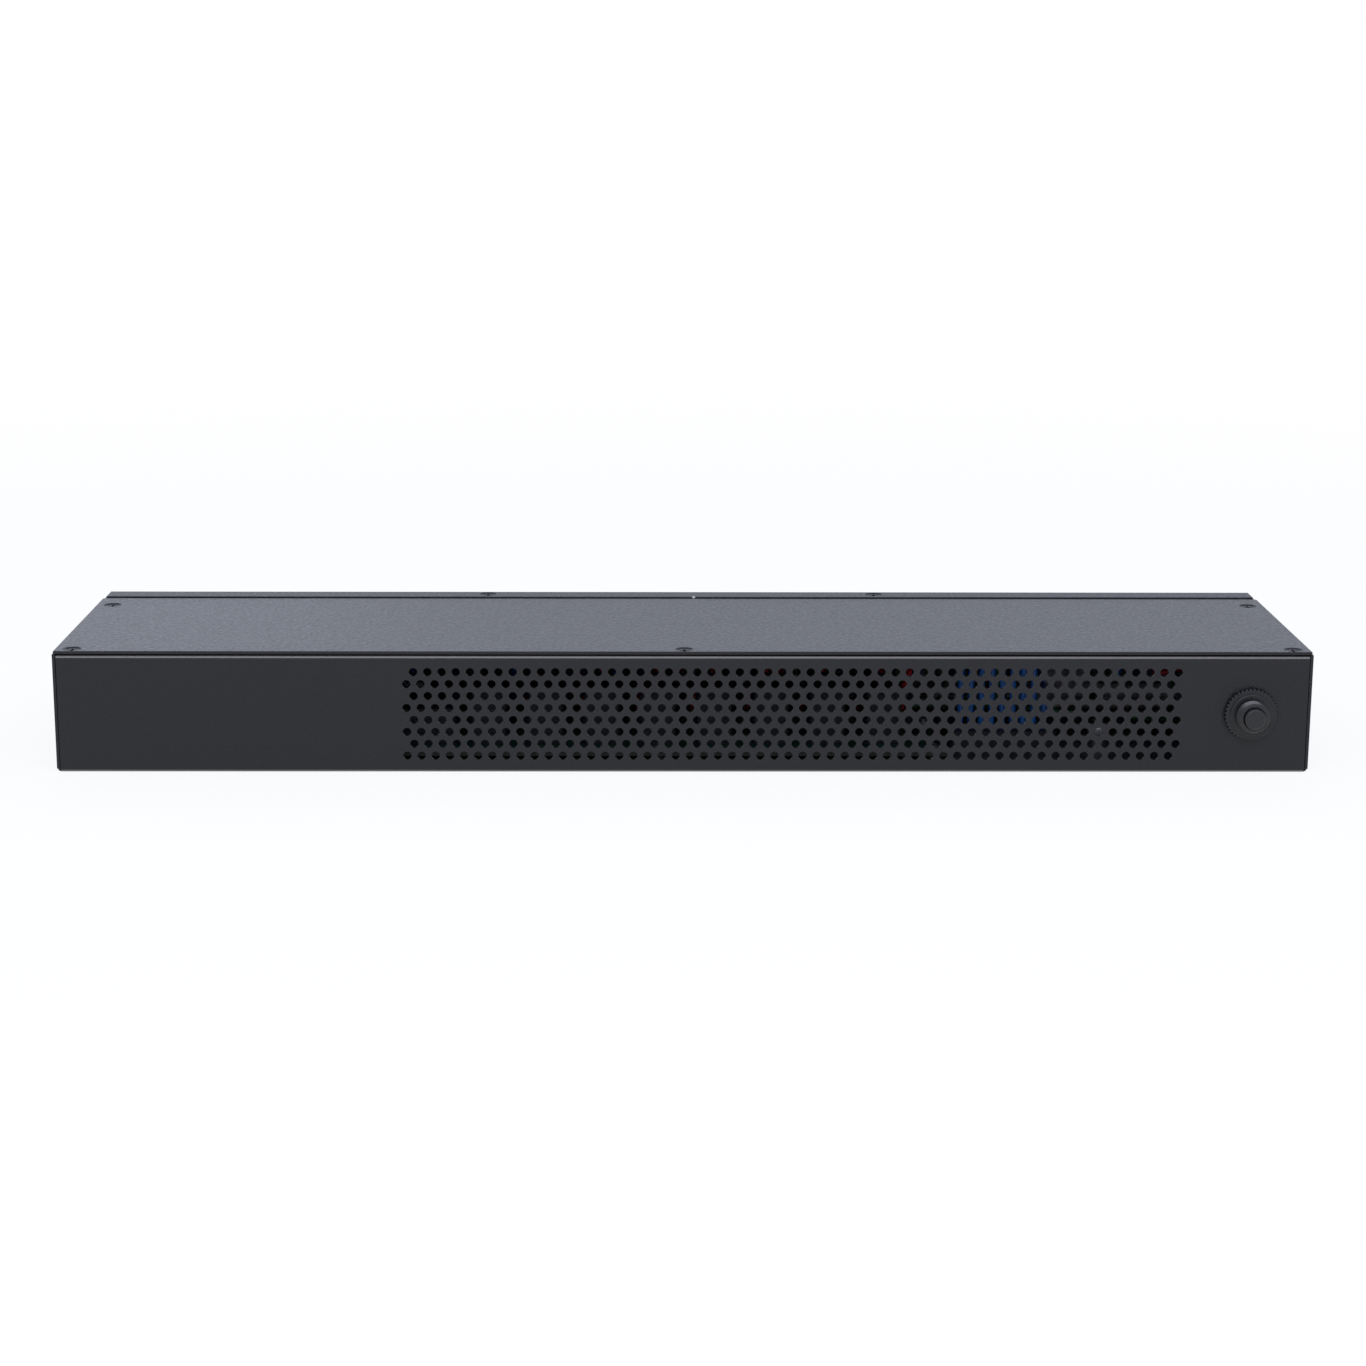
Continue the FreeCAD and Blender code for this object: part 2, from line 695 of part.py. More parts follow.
# Reset breaker: turned bushing on a case, held between a back nut and a knurled face nut.
case_front = "(dims.tray_sheet + dims.back_nut_height)"
chamber = "(dims.button_root - dims.button_collar_height - dims.button_travel - dims.fit_gap)"
breaker = turned("breaker_body", [
    ("0", f"{case_front} + 1"), ("0", "-dims.bushing_reach"),
    ("dims.bushing_radius - dims.bushing_chamfer", "-dims.bushing_reach"),
    ("dims.bushing_radius", "dims.bushing_chamfer - dims.bushing_reach"),
    ("dims.bushing_radius", f"{case_front} + 1"),
])
case = new_sketch(breaker, "breaker_case", "XZ_Plane", f"-{case_front}")
centred(case, "0", "0", "dims.breaker_width", "dims.breaker_height")
pad(breaker, case, "dims.breaker_depth", True)
bore = new_sketch(breaker, "button_bore", "XY_Plane")
outline(bore, [
    ("0", "-dims.bushing_reach - 1"),
    ("dims.button_radius + dims.button_gap", "-dims.bushing_reach - 1"),
    ("dims.button_radius + dims.button_gap", chamber),
    ("dims.button_collar + dims.button_gap", chamber),
    ("dims.button_collar + dims.button_gap", "dims.button_root + dims.fit_gap"),
    ("0", "dims.button_root + dims.fit_gap"),
])
hollow = breaker.newObject("PartDesign::Groove", "button_hollow")
hollow.Profile = bore
hollow.ReferenceAxis = (bore, ["V_Axis"])
hollow.Angle = 360
button = turned("reset_button", [
    ("0", "-dims.button_reach"), ("dims.button_radius - dims.button_edge", "-dims.button_reach"),
    ("dims.button_radius", "dims.button_edge - dims.button_reach"),
    ("dims.button_radius", "dims.button_root - dims.button_collar_height"),
    ("dims.button_collar", "dims.button_root - dims.button_collar_height"),
    ("dims.button_collar", "dims.button_root"), ("0", "dims.button_root"),
])
nut_bore = "(dims.bushing_radius + dims.fit_gap / 2)"
face_nut = turned("breaker_face_nut", [
    (nut_bore, "0"), ("dims.nut_radius", "0"), ("dims.nut_radius", "dims.nut_chamfer - dims.nut_rim"),
    ("dims.nut_radius - dims.nut_chamfer", "-dims.nut_rim"), ("dims.nut_hub", "-dims.nut_rim"),
    ("dims.nut_hub", "dims.nut_chamfer - dims.nut_height"),
    ("dims.nut_hub - dims.nut_chamfer", "-dims.nut_height"), (nut_bore, "-dims.nut_height"),
])
tooth = new_sketch(face_nut, "nut_tooth", "XZ_Plane", "dims.nut_rim")
outline(tooth, [
    ("dims.nut_radius - dims.tooth_depth", "0"),
    ("dims.nut_radius + dims.tooth_depth", "-dims.tooth_half_width"),
    ("dims.nut_radius + dims.tooth_depth", "dims.tooth_half_width"),
])
tooth_cut = pocket(face_nut, tooth, "dims.nut_rim")
knurl = face_nut.newObject("PartDesign::PolarPattern", "nut_knurl")
knurl.Originals = [tooth_cut]
knurl.Axis = (plane_of(face_nut, "Y_Axis"), [""])
knurl.Angle = 360
knurl.setExpression("Occurrences", "dims.nut_teeth")
face_nut.Tip = knurl
back_nut = new_body("breaker_back_nut")
hexagon = new_sketch(back_nut, "back_nut_hexagon", "XZ_Plane", "-dims.tray_sheet")
corners = [
    (f"dims.back_nut_radius * cos({60 * k} deg)", f"dims.back_nut_radius * sin({60 * k} deg)")
    for k in range(6)
]
outline(hexagon, corners)
ring(hexagon, "0", "0", nut_bore)
pad(back_nut, hexagon, "dims.back_nut_height", True)
for piece in (breaker, button, face_nut, back_nut):
    place(piece, "dims.breaker_x", front, "dims.breaker_z")
    nodes.append(piece)
blade = new_body("terminal_blade")
blade_line = new_sketch(blade, "blade_line", "XZ_Plane")
centred(blade_line, "0", "0", "dims.tab_sheet", "dims.tab_height")
pad(blade, blade_line, "dims.tab_out", True)
breaker_back = size(f"{front} + {case_front} + dims.breaker_depth")
blade_spots = [
    Vector(dim("breaker_x"), breaker_back, dim("breaker_z") + sign * dim("breaker_tab_offset"))
    for sign in (1, -1)
]
group("breaker_terminals", blade, blade_spots)


def socket(label, kind):
    """Bezel outside the panel and body inside it, about the window's centre."""
    body = new_body(label)
    bezel = new_sketch(body, label + "_bezel", "XZ_Plane")
    centred(bezel, "0", "0", f"dims.{kind}_bezel_width", f"dims.{kind}_bezel_height")
    pad(body, bezel, "dims.bezel_thickness", True)
    shell = new_sketch(body, label + "_shell", "XZ_Plane")
    centred(shell, "0", "0", f"dims.{kind}_body_width", f"dims.{kind}_body_height")
    pad(body, shell, f"dims.{kind}_body_depth")
    return body


# Line, neutral and earth stand at the same three places in every outlet and in the inlet.
ways = {
    "line": ("-dims.pin_spread", "-dims.pin_rise"),
    "neutral": ("dims.pin_spread", "-dims.pin_rise"),
    "earth": ("0", "dims.pin_rise"),
}
mouth = "-dims.bezel_thickness"
for k, x in enumerate(outlet_x, 1):
    outlet = socket(f"outlet_{k}", "outlet")
    moat = new_sketch(outlet, f"moat_{k}", "XZ_Plane", mouth)
    keyed(moat, "dims.shroud_width", "dims.shroud_height")
    keyed(moat, "dims.core_width", "dims.core_height")
    pocket(outlet, moat, "dims.socket_depth + dims.bezel_thickness", True)
    slots = new_sketch(outlet, f"slots_{k}", "XZ_Plane", mouth)
    back = new_sketch(outlet, f"tab_slots_{k}", "XZ_Plane", "dims.outlet_body_depth")
    for way_x, way_z in ways.values():
        centred(slots, way_x, way_z, "dims.slot_width", "dims.slot_height")
        centred(back, way_x, way_z, "dims.tab_sheet", "dims.tab_height")
    pocket(outlet, slots, "dims.socket_depth + dims.bezel_thickness", True)
    pocket(outlet, back, "dims.outlet_body_depth - dims.socket_depth")
    place(outlet, x, rear, "dims.socket_z")
    nodes.append(outlet)

# Forked contact: two leaves in the slot, a base, and a blade through the body's back.
contact = new_body("forked_contact")
fork = new_sketch(contact, "contact_fork", "XY_Plane", "-dims.tab_height / 2")
outer, inner, stem = "dims.slot_width / 2", "(dims.slot_width / 2 - dims.leaf_sheet)", "dims.tab_sheet / 2"
base = "(dims.tab_sheet - dims.socket_depth)"
end = "-(dims.outlet_body_depth + dims.tab_out)"
outline(fork, [
    (f"-{stem}", end), (stem, end), (stem, "-dims.socket_depth"), (outer, "-dims.socket_depth"),
    (outer, "-dims.leaf_tip"), (inner, "-dims.leaf_tip"), (inner, base),
    (f"-{inner}", base), (f"-{inner}", "-dims.leaf_tip"), (f"-{outer}", "-dims.leaf_tip"),
    (f"-{outer}", "-dims.socket_depth"), (f"-{stem}", "-dims.socket_depth"),
])
pad(contact, fork, "dims.tab_height")
outlet_ways = {
    name: [Vector(size(f"{x} + {a}"), size(rear), size(f"dims.socket_z + {b}")) for x in outlet_x]
    for name, (a, b) in ways.items()
}
for name, spots in outlet_ways.items():
    group(f"{name}_contacts", contact, spots)

# Power inlet with three pins through the back of its cavity.
inlet = socket("power_inlet", "inlet")
cavity = new_sketch(inlet, "inlet_cavity", "XZ_Plane", mouth)
keyed(cavity, "dims.inlet_cavity_width", "dims.inlet_cavity_height")
pocket(inlet, cavity, "dims.inlet_cavity_depth + dims.bezel_thickness", True)
pin_slots = new_sketch(inlet, "inlet_pin_slots", "XZ_Plane", "dims.inlet_body_depth")
for way_x, way_z in ways.values():
    centred(pin_slots, way_x, way_z, "dims.pin_width", "dims.pin_height")
pocket(inlet, pin_slots, "dims.inlet_body_depth - dims.inlet_cavity_depth")
place(inlet, "dims.inlet_x", rear, "dims.socket_z")
nodes.append(inlet)
pin = new_body("inlet_pin")
pin_line = new_sketch(pin, "pin_line", "XY_Plane", "-dims.pin_height / 2")
outer, shoulder = "dims.pin_width / 2", "-dims.inlet_body_depth"
end = f"({shoulder} - dims.tab_out)"
outline(pin_line, [
    (f"-{stem}", end), (stem, end), (stem, shoulder), (outer, shoulder), (outer, "dims.pin_tip"),
    (f"-{outer}", "dims.pin_tip"), (f"-{outer}", shoulder), (f"-{stem}", shoulder),
])
pad(pin, pin_line, "dims.pin_height")
inlet_ways = {
    name: Vector(size(f"dims.inlet_x - ({a})"), size(rear), size(f"dims.socket_z + {b}"))
    for name, (a, b) in ways.items()
}
group("inlet_pins", pin, list(inlet_ways.values()))

# Network jack: keyed mouth with eight spring wires along its roof.
jack = socket("network_jack", "jack")
jack_mouth = new_sketch(jack, "jack_mouth", "XZ_Plane", mouth)
rise = "dims.jack_mouth_height / 2"
key = "dims.jack_key_width / 2"
low = f"(-{rise} - dims.jack_key_height)"
side = "dims.jack_mouth_width / 2"
outline(jack_mouth, [
    (f"-{key}", low), (key, low), (key, f"-{rise}"), (side, f"-{rise}"), (side, rise),
    (f"-{side}", rise), (f"-{side}", f"-{rise}"), (f"-{key}", f"-{rise}"),
])
pocket(jack, jack_mouth, "dims.jack_mouth_depth + dims.bezel_thickness", True)
place(jack, "dims.jack_x", rear, "dims.socket_z")
nodes.append(jack)
spring = new_body("jack_spring")
spring_line = new_sketch(spring, "spring_line", "XZ_Plane")
rectangle(spring_line, "-dims.jack_wire / 2", "-dims.jack_wire", "dims.jack_wire / 2", "0")
pad(spring, spring_line, "dims.jack_mouth_depth")
group("jack_contacts", spring, [
    Vector(
        size(f"dims.jack_x + {k - 3.5} * dims.jack_wire_pitch"), size(rear),
        size(f"dims.socket_z + {rise}"),
    )
    for k in range(8)
])

# Relay board on standoffs, with eight relays, a supply module and wire terminals.
board_low = "(dims.tray_sheet + dims.standoff_height)"
board_top = f"({board_low} + dims.board_sheet)"
relay_x = [f"(dims.relay_first + {k} * dims.relay_pitch)" for k in range(int(dim("outlet_count")))]
terminal_x = [f"({x} - dims.terminal_offset)" for x in relay_x]
left_edge = "(dims.board_left + dims.standoff_inset)"
right_edge = "(dims.board_right - dims.standoff_inset)"
standoff_spots = [
    (x, y)
    for x in (left_edge, relay_x[3], right_edge)
    for y in ("(dims.board_front + dims.standoff_inset)", "(dims.board_rear - dims.standoff_inset)")
]
board = new_body("relay_board")
board_line = new_sketch(board, "board_line", "XY_Plane", board_low)
rectangle(board_line, "dims.board_left", "dims.board_front", "dims.board_right", "dims.board_rear")
for x, y in standoff_spots:
    ring(board_line, x, y, "(dims.screw_radius + dims.fit_gap)")
pad(board, board_line, "dims.board_sheet")
nodes.append(board)
standoff = turned("standoff", [
    ("dims.tapped_radius", "0"), ("dims.standoff_radius", "0"),
    ("dims.standoff_radius", "dims.standoff_height"), ("dims.tapped_radius", "dims.standoff_height"),
])
group("board_standoffs", standoff, spots_at(standoff_spots, dim("tray_sheet")), down)
pan_screw = turned("pan_screw", [
    ("0", "-dims.pan_screw_length"), ("dims.screw_radius", "-dims.pan_screw_length"),
    ("dims.screw_radius", "0"), ("dims.screw_head", "0"),
    ("dims.screw_head", "dims.pan_head_height - dims.pan_head_edge"),
    ("dims.screw_head - dims.pan_head_edge", "dims.pan_head_height"), ("0", "dims.pan_head_height"),
])
cross(pan_screw, "pan_cross", "-dims.pan_head_height")
group("board_screws", pan_screw, spots_at(standoff_spots, size(board_top)), down)


def block(label, x, y, width, length, height, z=board_top):
    """Moulded block standing on a surface, its upright edges chamfered."""
    body = new_body(label)
    foot = new_sketch(body, label + "_foot", "XY_Plane")
    across, along, cut = f"{width} / 2", f"{length} / 2", "dims.relay_chamfer"
    outline(foot, [
        (f"{cut} - {across}", f"-{along}"), (f"{across} - {cut}", f"-{along}"),
        (across, f"{cut} - {along}"), (across, f"{along} - {cut}"),
        (f"{across} - {cut}", along), (f"{cut} - {across}", along),
        (f"-{across}", f"{along} - {cut}"), (f"-{across}", f"{cut} - {along}"),
    ])
    pad(body, foot, height)
    place(body, x, y, z)
    return body


for k, x in enumerate(relay_x, 1):
    nodes.append(block(
        f"relay_{k}", x, "dims.relay_rear - dims.relay_length / 2",
        "dims.relay_width", "dims.relay_length", "dims.relay_height",
    ))
nodes.append(block(
    "supply_module", "dims.module_x", "dims.relay_rear - dims.module_length / 2",
    "dims.module_width", "dims.module_length", "dims.module_height",
))
nodes.append(block(
    "board_header", "dims.module_x", "dims.terminal_y",
    "dims.terminal_width", "dims.terminal_length", "dims.header_height",
))
terminal = block("wire_terminal", "0", "0", "dims.terminal_width", "dims.terminal_length",
                 "dims.terminal_height", "0")
terminal_spots = [(x, "dims.terminal_y") for x in terminal_x + ["dims.feed_terminal_x"]]
group("board_terminals", terminal, spots_at(terminal_spots, size(board_top)))
ways_in_block = len(outlet_x) + 1
block_span = f"{ways_in_block - 1} * dims.block_pitch"
nodes.append(block(
    "neutral_block", f"dims.block_left + {block_span} / 2", "dims.block_y",
    f"({block_span} + 2 * dims.block_pitch)", "dims.block_length", "dims.block_height", floor_top,
))

# Earth stud welded to the floor, two ring terminals and a nut stacked on it.
stud = turned("stud", [
    ("0", "0"), ("dims.ring_radius", "0"), ("dims.ring_radius", "dims.stud_shoulder"),
    ("dims.stud_radius", "dims.stud_shoulder"), ("dims.stud_radius", "dims.stud_height"),
    ("0", "dims.stud_height"),
])
stud_foot = Vector(dim("stud_x"), dim("stud_y"), dim("tray_sheet"))
lift = Vector(0, 0, 1)
group("earth_stud", stud, [stud_foot], down)
lug = new_body("ring_lug")
eye = new_sketch(lug, "lug_eye", "XY_Plane")
ring(eye, "0", "0", "dims.ring_radius")
ring(eye, "0", "0", "dims.stud_radius + dims.fit_gap")
pad(lug, eye, "dims.ring_sheet")
neck = new_sketch(lug, "lug_neck", "XY_Plane")
rectangle(
    neck, "dims.ring_radius - dims.ring_sheet", "-dims.wire_radius",
    "dims.ring_shank - dims.ring_barrel / 2", "dims.wire_radius",
)
pad(lug, neck, "dims.ring_sheet")
barrel = new_sketch(lug, "lug_barrel", "YZ_Plane", "dims.ring_shank - dims.ring_barrel")
ring(barrel, "0", "dims.ring_sheet / 2", "dims.ring_barrel_radius")
pad(lug, barrel, "dims.ring_barrel")
first_lug = stud_foot + lift * dim("stud_shoulder")
second_lug = first_lug + lift * dim("ring_sheet")
to_front, to_left = FreeCAD.Rotation(lift, -90), FreeCAD.Rotation(lift, 180)
group("earth_lugs", lug, [first_lug, second_lug], to_front, to_left)
stud_nut = new_body("earth_nut")
stud_hexagon = new_sketch(stud_nut, "stud_hexagon", "XY_Plane")
outline(stud_hexagon, [
    (f"dims.stud_nut_radius * cos({60 * k} deg)", f"dims.stud_nut_radius * sin({60 * k} deg)")
    for k in range(6)
])
ring(stud_hexagon, "0", "0", "dims.stud_radius + dims.fit_gap / 2")
pad(stud_nut, stud_hexagon, "dims.stud_nut_height")
place(
    stud_nut, "dims.stud_x", "dims.stud_y",
    "dims.tray_sheet + dims.stud_shoulder + 2 * dims.ring_sheet",
)
nodes.append(stud_nut)

# Push-on sleeves over every blade; a wire leaves the front of each.
sleeve = new_body("blade_sleeve")
sleeve_line = new_sketch(sleeve, "sleeve_line", "XZ_Plane")
centred(sleeve_line, "0", "0", "dims.sleeve_width", "dims.sleeve_height")
pad(sleeve, sleeve_line, "dims.sleeve_length", True)
sleeve_mouth = new_sketch(sleeve, "sleeve_mouth", "XZ_Plane", "-dims.sleeve_length")
centred(sleeve_mouth, "0", "0", f"(dims.tab_sheet + {room})", f"(dims.tab_height + {room})")
pocket(sleeve, sleeve_mouth, "dims.sleeve_slot", True)
stub = size("dims.sleeve_length - dims.sleeve_slot")
along = Vector(0, 1, 0)
outlet_reach = size("dims.outlet_body_depth + dims.tab_out") + stub
inlet_reach = size("dims.inlet_body_depth + dims.tab_out") + stub
leads = {name: [p - along * outlet_reach for p in spots] for name, spots in outlet_ways.items()}
inlet_leads = {name: p - along * inlet_reach for name, p in inlet_ways.items()}
breaker_leads = [p + along * (dim("tab_out") + stub) for p in blade_spots]
rear_leads = sum(leads.values(), []) + list(inlet_leads.values())
group(
    "terminal_sleeves", sleeve, rear_leads + breaker_leads,
    *[FreeCAD.Rotation()] * len(rear_leads), *[to_left] * len(breaker_leads),
)


def route(stops, radius):
    """Round wire along straight runs joined by tangent arcs."""
    edges, here = [], stops[0]
    for before, at, after in zip(stops, stops[1:], stops[2:]):
        inward, outward = before - at, after - at
        reach = 0.45 * min(inward.Length, outward.Length)
        inward.normalize()
        outward.normalize()
        turn = math.pi - inward.getAngle(outward)
        reach = min(reach, 4 * radius * math.tan(turn / 2))
        bow = reach / math.tan(turn / 2)
        start, stop = at + inward * reach, at + outward * reach
        heart = inward + outward
        heart.normalize()
        crown = at + heart * (bow / math.cos(turn / 2) - bow)
        edges.append(Part.LineSegment(here, start).toShape())
        edges.append(Part.Arc(start, crown, stop).toShape())
        here = stop
    edges.append(Part.LineSegment(here, stops[-1]).toShape())
    rim = Part.Circle(stops[0], stops[1] - stops[0], radius).toShape()
    return Part.Wire(edges).makePipeShell([Part.Wire([rim])], True, False)


def harness(label, routes, radius=None):
    piece = doc.addObject("Part::Feature", label)
    piece.Label = label
    piece.Shape = Part.makeCompound([route(stops, radius or dim("wire_radius")) for stops in routes])
    nodes.append(piece)


gap = dim("wire_spacing")
terminal_top = size(f"{board_top} + dims.terminal_height")
harness_level = dim("harness_level")
lead_y = leads["line"][0].y
floor = dim("tray_sheet")

# Line wires lean up from the terminals between the relays, cross above the board and drop to an
# outlet, each third one at the same level.
line_routes = []
for k, (x, lead) in enumerate(zip(terminal_x, leads["line"])):
    root = Vector(size(x), dim("terminal_y"), terminal_top)
    level = harness_level + gap * (k % 3)
    lean = dim("wire_lean") * (level - root.z - gap)
    line_routes.append([
        root, root + lift * gap, Vector(root.x + lean, root.y + gap / 2, level),
        Vector(lead.x, lead_y - 2.5 * gap, level), lead - along * gap, lead,
    ])

# The inlet feeds the breaker's upper blade, and the lower one feeds the board from above.
upper_lead, lower_lead = breaker_leads
inlet_line = inlet_leads["line"]
line_routes.append([
    upper_lead, upper_lead + along * 4 * gap, inlet_line - along * 2 * gap, inlet_line,
])
feed = Vector(dim("feed_terminal_x"), dim("terminal_y"), terminal_top)
feed_level = harness_level + 1.4 * gap
line_routes.append([
    lower_lead, lower_lead + along * 2 * gap,
    Vector(lower_lead.x - 5 * gap, feed.y - gap, feed_level),
    Vector(feed.x + 2 * gap, feed.y - gap, feed_level), feed + lift * 3 * gap, feed,
])
harness("line_wires", line_routes)

# Neutral wires fan out of the block, run under the cover and drop to their outlets.
neutral_level = harness_level + 3.4 * gap
block_top = floor + dim("block_height")
neutral_routes = []
for k, lead in enumerate(leads["neutral"]):
    root = Vector(size(f"dims.block_left + {k} * dims.block_pitch"), dim("block_y"), block_top)
    lane = root.y + (4 + k) * gap
    front_of_lead = lead - along * 1.6 * gap
    neutral_routes.append([
        root, Vector(root.x, root.y, neutral_level), Vector(root.x, lane, neutral_level),
        Vector(lead.x, lane, neutral_level), Vector(lead.x, front_of_lead.y, neutral_level),
        front_of_lead, lead,
    ])
root = Vector(size(f"dims.block_left + {block_span}"), dim("block_y"), block_top)
inlet_neutral = inlet_leads["neutral"]
turn_in = inlet_neutral - along * 4 * gap
neutral_routes.append([
    root, root + lift * 4 * gap, Vector(root.x + gap, turn_in.y, feed_level - 2 * gap),
    Vector(turn_in.x, turn_in.y, feed_level - 2 * gap), inlet_neutral - along * 2 * gap, inlet_neutral,
])
harness("neutral_wires", neutral_routes)

# Earth loops hang from outlet to outlet; the last one and the inlet's end on the stud.
earth_routes = []
aside = Vector(gap / 2, 0, 0)
hang = along * (-1.7 * gap)
low_z = floor + 3 * gap
for one, two in zip(leads["earth"], leads["earth"][1:]):
    left, right = one + aside, two - aside
    earth_routes.append([
        left, left + hang, Vector(left.x, left.y + hang.y, low_z),
        Vector(right.x, right.y + hang.y, low_z), right + hang, right,
    ])
last = leads["earth"][-1] + aside
lug_middle = lift * (dim("ring_sheet") / 2)
front_end = first_lug + lug_middle - along * dim("ring_shank")
left_end = second_lug + lug_middle - Vector(dim("ring_shank"), 0, 0)
earth_routes.append([
    last, last + hang, Vector(last.x, last.y + hang.y, low_z), front_end - along * 3 * gap, front_end,
])
inlet_earth = inlet_leads["earth"]
beside = left_end - Vector(2 * gap, 0, 0)
earth_routes.append([
    inlet_earth, inlet_earth + hang, Vector(beside.x, inlet_earth.y + hang.y, inlet_earth.z + gap),
    beside, left_end,
])
harness("earth_wires", earth_routes)

# Control cable from the jack's back to the board's header.
thick_cable = dim("cable_radius")
jack_back = Vector(dim("jack_x"), size(f"{rear} - dims.jack_body_depth"), dim("socket_z"))
header_top = Vector(dim("module_x"), dim("terminal_y"), size(f"{board_top} + dims.header_height"))
harness("control_cable", [[
    jack_back, Vector(jack_back.x, header_top.y, jack_back.z),
    header_top + lift * 4 * thick_cable, header_top,
]], thick_cable)

doc.recompute()
failed = [o.Label for o in doc.Objects if "Invalid" in o.State or "Error" in o.State]
if failed:
    raise RuntimeError(f"objects not made: {failed}")
for node in nodes:
    if node.Shape.isNull() or not node.Shape.isValid():
        raise RuntimeError(f"{node.Label} has no valid shape")
for node in nodes:
    node.Shape.exportStep(f"parts/{node.Label}.step")
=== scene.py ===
"""Looks of a rack power distribution unit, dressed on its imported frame.

Metres: X runs right along the perforated wall, Y from that wall to the outlets, Z up from
the underside.
"""
import json
import math

import bpy
from mathutils import Matrix, Vector

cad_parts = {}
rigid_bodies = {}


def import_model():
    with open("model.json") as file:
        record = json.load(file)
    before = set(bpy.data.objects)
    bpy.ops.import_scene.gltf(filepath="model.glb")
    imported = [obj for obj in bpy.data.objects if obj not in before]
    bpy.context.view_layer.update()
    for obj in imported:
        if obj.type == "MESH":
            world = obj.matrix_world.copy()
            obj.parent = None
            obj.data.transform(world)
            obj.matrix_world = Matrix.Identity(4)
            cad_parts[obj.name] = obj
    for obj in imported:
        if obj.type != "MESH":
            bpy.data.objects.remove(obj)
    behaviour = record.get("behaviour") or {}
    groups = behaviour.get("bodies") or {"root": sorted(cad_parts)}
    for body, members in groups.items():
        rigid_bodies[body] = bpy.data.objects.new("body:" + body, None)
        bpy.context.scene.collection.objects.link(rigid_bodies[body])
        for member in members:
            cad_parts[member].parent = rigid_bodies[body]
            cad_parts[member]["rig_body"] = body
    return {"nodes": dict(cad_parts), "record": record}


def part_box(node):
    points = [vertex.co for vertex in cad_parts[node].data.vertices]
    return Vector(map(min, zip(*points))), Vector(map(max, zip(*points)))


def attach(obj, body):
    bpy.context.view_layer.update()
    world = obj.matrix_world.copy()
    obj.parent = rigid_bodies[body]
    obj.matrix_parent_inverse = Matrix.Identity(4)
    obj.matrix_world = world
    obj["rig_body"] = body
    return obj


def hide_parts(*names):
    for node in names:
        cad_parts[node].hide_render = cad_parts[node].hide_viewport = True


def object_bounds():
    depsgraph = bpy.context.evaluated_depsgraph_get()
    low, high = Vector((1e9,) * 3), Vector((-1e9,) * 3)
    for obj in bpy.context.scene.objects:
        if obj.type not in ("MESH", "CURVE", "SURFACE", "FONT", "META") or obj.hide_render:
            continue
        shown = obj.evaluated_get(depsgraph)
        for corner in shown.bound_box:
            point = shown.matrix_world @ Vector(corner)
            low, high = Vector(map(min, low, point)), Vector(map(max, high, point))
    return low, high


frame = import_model()
cad_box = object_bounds()
scene = bpy.context.scene
scene.view_settings.view_transform = "Standard"
mm = 0.001

# The camera, fitted to the edges and the perforation of the photograph
photo_width = 1366
focal_pixels = 2816.0
sensor_width = 36.0
near_clip = 0.05
camera_place = Vector((-13.75, -1020.3, 257.3)) * mm
camera_pitch = math.radians(13.085)
camera_yaw = math.radians(0.784)
camera_roll = math.radians(0.219)

# The studio: a cool white room, a softbox above and behind the object, one above the camera,
# and a fill behind on the left
cool_white = "#e9efff"
plain_white = "#ffffff"
room_light = 0.68
softboxes = {
    "behind_top": {"place": (0.0, 1.5, 1.1), "length": 2.2, "depth": 0.6, "power": 7.0},
    "above_camera": {"place": (0.0, -1.05, 1.0), "length": 1.8, "depth": 0.3, "power": 14.0},
    "behind_left": {"place": (-0.75, 2.0, 0.55), "length": 0.9, "depth": 0.7, "power": 0.9},
}

# The floor, which shows some shadow near the object and none farther out
floor_white = "#fafafa"
floor_radius = 9.0
floor_corners = 96
floor_gap = 0.02 * mm
shaded_floor = 0.45
white_floor = 1.1
shadow_share = 0.14

# A Mix node's two colours among its inputs, and the mixed colour among its outputs
mix_from, mix_to, mixed = 6, 7, 2
# The fineness of noise in a colour's patches and in a surface's grain
patch_detail = 3.0
grain_detail = 2.0
# The radians that a Wave texture makes for each unit of its scale, and the spacing of the
# board's tracks in millimetres
wave_radians = 20
track_spacing = 2.54

# The powder coat: its gloss goes from smooth to rough between two heights of the peel, and a
# painted highlight lightens folds about their middle, told by the upward part of the normal
coat_dark = "#0e0e12"
coat_light = "#17171b"
low_peel = 0.3
high_peel = 0.7
fold_middle = 0.6
highlight_start = 0.25
highlight_full = 0.5

# A chip in the coat on the edge of the outlet panel's flange, and the depth in the case from
# which a face is an inner one
bare_steel = "#d4d2cd"
flange_reach = 11.0 * mm
chip_x = 4.8 * mm
chip_radius = 0.7 * mm
chip_core = 0.42 * mm
inner_side = 0.8 * mm

# Edges eased by the coating, by the moulds and on the lathe
sheet_edge = 0.3 * mm
mould_edge = 0.25 * mm
turned_edge = 0.08 * mm
edge_segments = 2
fold_angle = math.radians(35)
flat_angle = math.radians(0.5)
merge_gap = 0.001 * mm

# The thread on the breaker's bushing, a ridge of three sides
thread_pitch = 0.8 * mm
thread_ridge = 0.45 * mm
thread_crest = 5.6 * mm
ridge_sides = 3
thread_steps = 40

# The stud clinched in the tray's floor, with its washer and nut
stud_place = Vector((154.2, -6.0)) * mm
washer_radius = 5.0 * mm
washer_sheet = 1.0 * mm
nut_corner = 4.62 * mm
nut_height = 4.0 * mm
nut_sides = 6
nut_turn = math.radians(30)
stud_radius = 2.5 * mm
stud_end = 2.0 * mm
stud_edge = 0.3 * mm
round_sides = 32


